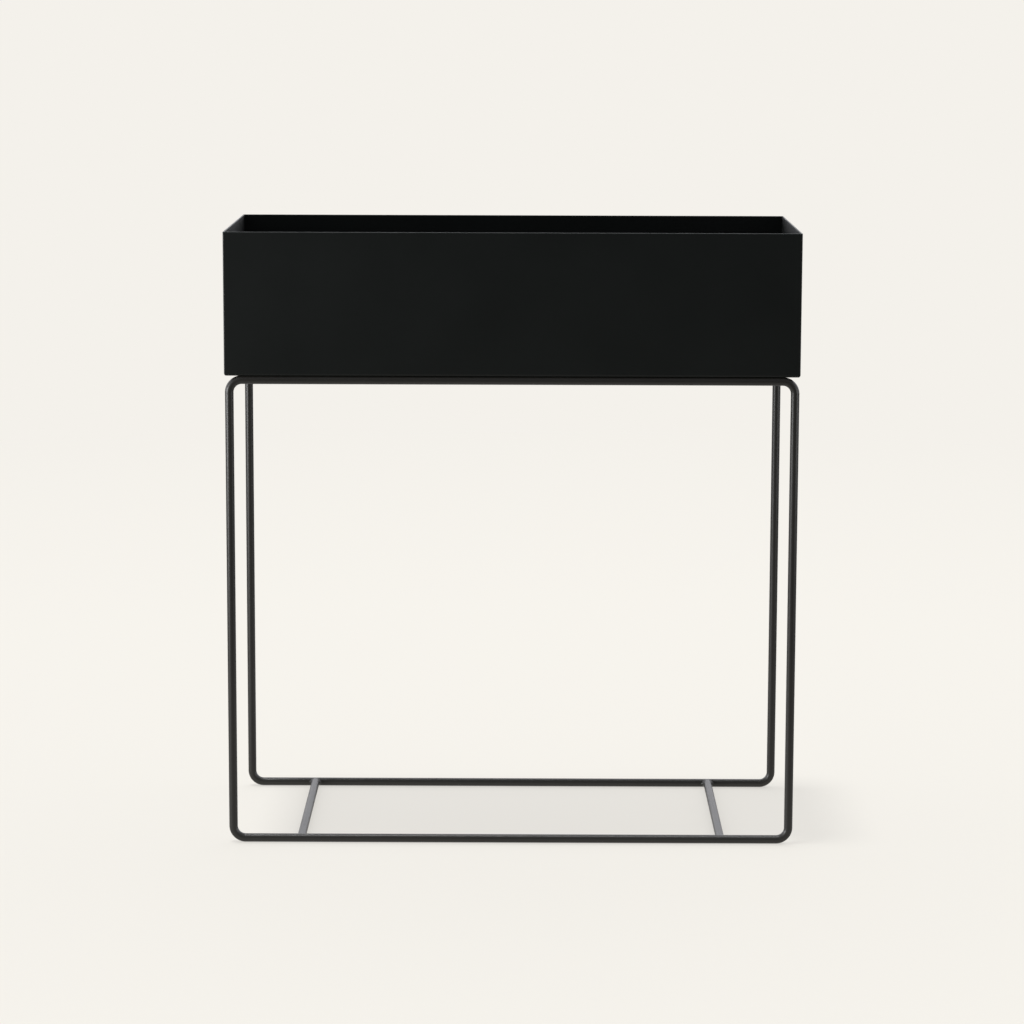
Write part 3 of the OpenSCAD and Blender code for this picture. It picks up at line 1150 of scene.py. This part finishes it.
class PLANTER_OT_seams(bpy.types.Operator):
    """Makes the welded seams in the tray's upright corners"""
    bl_idname = "planter.seams"
    bl_label = "Corner seams"

    def execute(self, context):
        hand_over(make_seams(context.scene.planter_tray), "tray_coat", "corner_welds")
        return {"FINISHED"}


class PLANTER_OT_loops(bpy.types.Operator):
    """Makes the front and rear loops of bent rod"""
    bl_idname = "planter.loops"
    bl_label = "Rod loops"

    def execute(self, context):
        for piece, node in zip(make_loops(context.scene.planter_stand), ("front_loop", "rear_loop")):
            hand_over(piece, "stand_coat", node)
        return {"FINISHED"}


class PLANTER_OT_crossbars(bpy.types.Operator):
    """Makes the two crossbars at floor level"""
    bl_idname = "planter.crossbars"
    bl_label = "Crossbars"

    def execute(self, context):
        for side, node in zip(SIDES, ("left_crossbar", "right_crossbar")):
            hand_over(make_crossbar(side, context.scene.planter_stand.rod_sides), "stand_coat", node)
        return {"FINISHED"}


class PLANTER_OT_welds(bpy.types.Operator):
    """Makes the fillets at the crossbars' ends and the beads below the tabs"""
    bl_idname = "planter.welds"
    bl_label = "Welds"

    def execute(self, context):
        weld = context.scene.planter_weld
        hand_over(make_crossbar_welds(weld), "stand_coat", "crossbar_welds")
        hand_over(make_tab_beads(weld), "stand_coat", "tab_welds")
        return {"FINISHED"}


class PLANTER_OT_tabs(bpy.types.Operator):
    """Makes the four fixing tabs"""
    bl_idname = "planter.tabs"
    bl_label = "Fixing tabs"

    def execute(self, context):
        fixing = context.scene.planter_fixing
        ends, sides = zip(SIDES, ("front", "rear")), zip(SIDES, ("left", "right"))
        for (sy, end), (sx, side) in product(ends, sides):
            hand_over(make_tab(sx, sy, fixing), "stand_coat", f"{end}_{side}_tab")
        return {"FINISHED"}


class PLANTER_OT_fixings(bpy.types.Operator):
    """Makes the studs, washers and nuts below the tray"""
    bl_idname = "planter.fixings"
    bl_label = "Fixings"

    def execute(self, context):
        nodes = ("tray_studs", "stud_washers", "stud_nuts")
        for piece, node in zip(make_fixings(context.scene.planter_fixing), nodes):
            hand_over(piece, "zinc_steel", node)
        return {"FINISHED"}


class PLANTER_OT_stage(bpy.types.Operator):
    """Makes the floor, the light and the camera"""
    bl_idname = "planter.stage"
    bl_label = "Studio"

    def execute(self, context):
        stage = context.scene.planter_stage
        context.scene.view_settings.view_transform = "Standard"
        floor = make_floor(stage)
        make_surroundings(stage)
        make_key(stage)
        make_softboxes(stage, floor)
        make_camera(stage)
        return {"FINISHED"}


SETTINGS = {
    "planter_tray": TraySettings, "planter_stand": StandSettings, "planter_weld": WeldSettings,
    "planter_fixing": FixingSettings, "planter_finish": FinishSettings, "planter_stage": StageSettings}
OPERATORS = (
    PLANTER_OT_stage, PLANTER_OT_tray, PLANTER_OT_seams, PLANTER_OT_loops, PLANTER_OT_crossbars,
    PLANTER_OT_welds, PLANTER_OT_tabs, PLANTER_OT_fixings)


class VIEW3D_PT_planter(bpy.types.Panel):
    """Lists the planter's pieces"""
    bl_label = "Raised planter"
    bl_space_type = "VIEW_3D"
    bl_region_type = "UI"
    bl_category = "Planter"

    def draw(self, context):
        for operator in OPERATORS:
            self.layout.operator(operator.bl_idname)


CLASSES = (*SETTINGS.values(), *OPERATORS, VIEW3D_PT_planter)


def register():
    for cls in CLASSES:
        bpy.utils.register_class(cls)
    for name, group in SETTINGS.items():
        setattr(bpy.types.Scene, name, PointerProperty(type=group))


def unregister():
    for name in SETTINGS:
        delattr(bpy.types.Scene, name)
    for cls in reversed(CLASSES):
        bpy.utils.unregister_class(cls)


def main():
    register()
    bpy.ops.planter.stage()
    bpy.ops.planter.tray()
    bpy.ops.planter.seams()
    bpy.ops.planter.loops()
    bpy.ops.planter.crossbars()
    bpy.ops.planter.welds()
    bpy.ops.planter.tabs()
    bpy.ops.planter.fixings()


if __name__ == "__main__":
    main()
